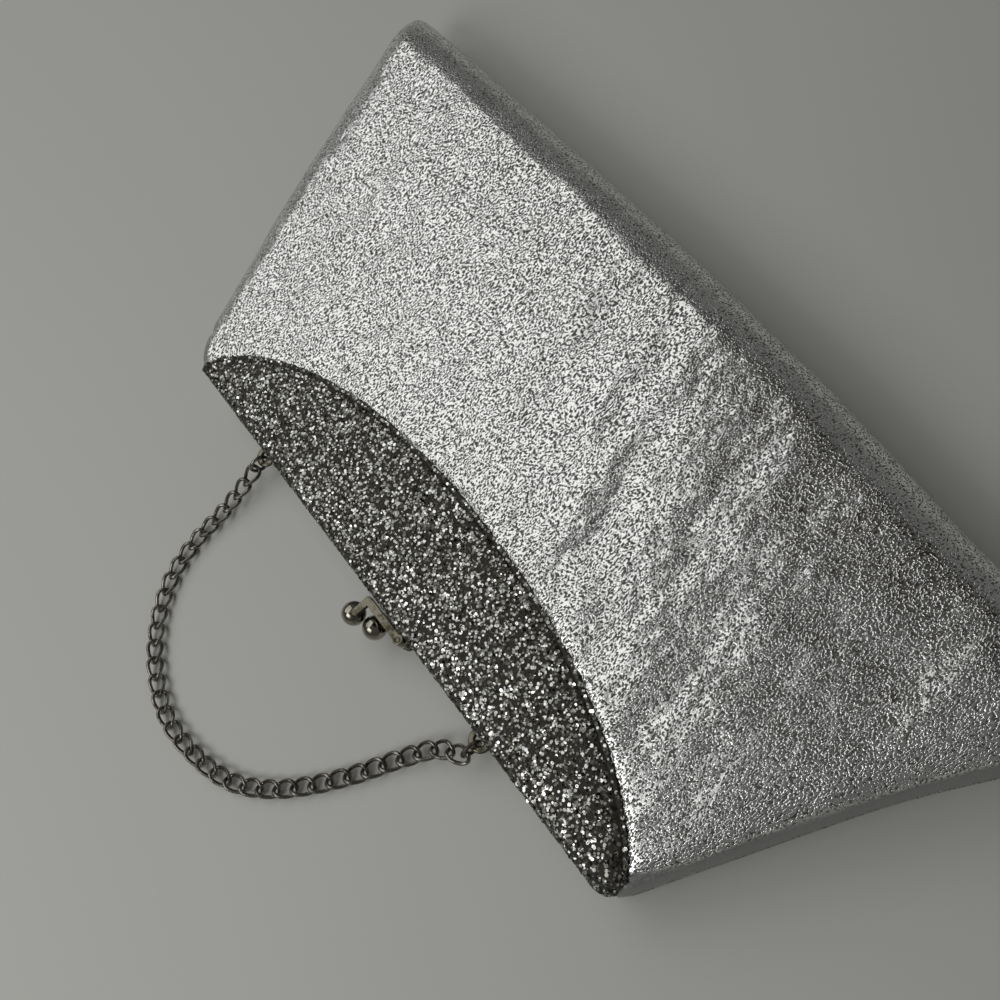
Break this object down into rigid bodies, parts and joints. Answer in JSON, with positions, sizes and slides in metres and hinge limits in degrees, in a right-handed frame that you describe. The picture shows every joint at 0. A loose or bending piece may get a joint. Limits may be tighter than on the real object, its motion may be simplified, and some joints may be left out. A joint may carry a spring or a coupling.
{
  "type": "evening bag",
  "caption": "Flat evening bag in foil leather with a crescent of glitter on its kiss-lock frame and a short curb-chain handle.",
  "frame": {"origin": "middle of the back panel's resting face, half way between the mouth and the bottom fold", "axes": "+X along the frame, +Y from the bottom fold towards the mouth, +Z out of the front panel, with the bag lying on its back"},
  "size_m": [0.3, 0.2033, 0.028],
  "materials": {
    "silver_leather": "metallic foil, crinkle grain",
    "gusset_leather": "metallic foil, smoother",
    "glitter_cloth": "chunky glitter",
    "plate_steel": "plain",
    "wadding": "soft",
    "board": "plain fibre board",
    "lining_satin": "satin",
    "frame_steel": "antique",
    "antique_nickel": "antique, satin",
    "polished_nickel": "antique, polished",
    "chain_nickel": "antique, dark in the hollows"
  },
  "bodies": {
    "root": {"leather_cover": "silver_leather", "front_leather_fold": "silver_leather", "gusset_left": "gusset_leather", "gusset_right": "gusset_leather", "gusset_fold_left": "gusset_leather", "gusset_fold_right": "gusset_leather", "back_glitter": "glitter_cloth", "back_plate": "plate_steel", "pouch_padding": "wadding", "back_board": "board", "front_board": "board", "lining_pouch": "lining_satin", "front_lining_fold": "lining_satin", "slip_pocket": "lining_satin", "back_frame": "frame_steel", "hinge_pin_left": "frame_steel", "hinge_pin_right": "frame_steel", "chain_lug_left": "antique_nickel", "chain_lug_right": "antique_nickel", "lug_rivets": "frame_steel", "back_clasp_foot": "antique_nickel"},
    "front_frame": {"front_leather_upper": "silver_leather", "front_glitter": "glitter_cloth", "front_plate": "plate_steel", "front_padding_upper": "wadding", "front_lining_upper": "lining_satin", "front_frame": "frame_steel", "front_clasp_foot": "antique_nickel"},
    "front_catch": {"front_clasp_arm": "antique_nickel", "front_clasp_ball": "polished_nickel"},
    "back_catch": {"back_clasp_arm": "antique_nickel", "back_clasp_ball": "polished_nickel"},
    "chain": {"jump_rings": "chain_nickel", "chain_links": "chain_nickel"}
  },
  "joints": [
    {"name": "mouth_open", "type": "hinge", "parent": "root", "child": "front_frame", "pos_m": [0, 0.022, 0.0087], "axis": [1, 0, 0], "range_deg": [0, 50], "deforming": ["front_leather_fold", "gusset_fold_left", "gusset_fold_right", "front_lining_fold"]},
    {"name": "chain_swing", "type": "hinge", "parent": "root", "child": "chain", "pos_m": [0, 0.0683, 0.0071], "axis": [1, 0, 0], "range_deg": [-80, 100]},
    {"name": "front_catch_flex", "type": "hinge", "parent": "front_frame", "child": "front_catch", "pos_m": [-0.018, 0.0664, 0.0116], "axis": [0, 0, -1], "range_deg": [0, 2.5], "stiffness_Nm_per_rad": 0.6},
    {"name": "back_catch_flex", "type": "hinge", "parent": "root", "child": "back_catch", "pos_m": [-0.018, 0.0664, 0.0058], "axis": [0, 0, 1], "range_deg": [0, 2.5], "stiffness_Nm_per_rad": 0.6}
  ]
}
